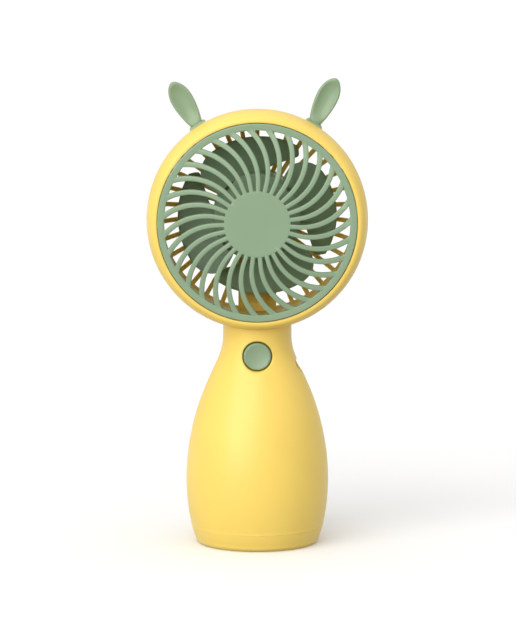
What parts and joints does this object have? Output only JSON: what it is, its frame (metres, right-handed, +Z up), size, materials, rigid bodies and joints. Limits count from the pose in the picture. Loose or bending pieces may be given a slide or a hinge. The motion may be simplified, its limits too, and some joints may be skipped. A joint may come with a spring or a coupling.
{
  "type": "handheld electric fan",
  "caption": "Rechargeable handheld fan: round head with a curved-bar grille and two small ears, on a bottle-shaped grip that stands on its base, with a push button and a side charging port.",
  "frame": {"origin": "centre of the flat base, on the surface the fan stands on", "axes": "+Z up the grip to the head, -Y out of the front grille, +X to the side with the charging port"},
  "size_m": [0.0924, 0.0598, 0.1964],
  "materials": {
    "yellow_plastic": "satin",
    "green_plastic": "satin",
    "board": "satin",
    "black_plastic": "matte",
    "white_plastic": "matte",
    "steel": "satin",
    "chrome": "polished",
    "copper": "satin",
    "bronze": "satin",
    "nickel": "satin",
    "magnet": "matte",
    "cell_sleeve": "gloss",
    "foam": "matte",
    "red_insulation": "gloss",
    "black_insulation": "gloss",
    "black_oxide": "satin"
  },
  "bodies": {
    "housing": {"base_screws": "black_oxide", "battery_cell": "cell_sleeve", "battery_foam": "foam", "battery_lead_black": "black_insulation", "battery_lead_red": "red_insulation", "battery_positive_cap": "nickel", "battery_tabs": "nickel", "board_header": "bronze", "boost_inductor": "magnet", "bottom_cap": "yellow_plastic", "capacitors": "bronze", "charge_chip": "black_plastic", "ear_left": "green_plastic", "ear_right": "green_plastic", "front_bush": "bronze", "front_grille": "green_plastic", "front_shell": "yellow_plastic", "main_board": "board", "motor_bracket": "black_plastic", "motor_bracket_screws": "black_oxide", "motor_brushes": "copper", "motor_can": "steel", "motor_driver": "black_plastic", "motor_end_cap": "white_plastic", "motor_lead_black": "black_insulation", "motor_lead_red": "red_insulation", "motor_magnets": "magnet", "motor_terminals": "bronze", "rear_bush": "bronze", "rear_shell": "yellow_plastic", "resistors": "black_plastic", "shell_screws": "black_oxide", "switch_board": "board", "switch_body": "black_plastic", "switch_plate": "steel", "usb_shell": "chrome", "usb_tongue": "black_plastic", "wire_cover": "yellow_plastic"},
    "rotor": {"impeller": "green_plastic", "motor_shaft": "steel", "armature_core": "steel", "armature_windings": "copper", "commutator": "copper"},
    "button": {"button_cap": "green_plastic"},
    "plunger": {"switch_plunger": "black_plastic"}
  },
  "joints": [
    {"name": "impeller_spin", "type": "hinge", "parent": "housing", "child": "rotor", "pos_m": [0, 0, 0.138], "axis": [0, -1, 0], "continuous": true},
    {"name": "button_press", "type": "slide", "parent": "housing", "child": "button", "axis": [0, 1, 0], "range_m": [0, 0.0005], "stiffness_N_per_m": 1500},
    {"name": "switch_press", "type": "slide", "parent": "housing", "child": "plunger", "axis": [0, 1, 0], "range_m": [0, 0.0005]}
  ],
  "couplings": [
    {"joint": "switch_press", "follows": "button_press", "ratio": 1}
  ]
}
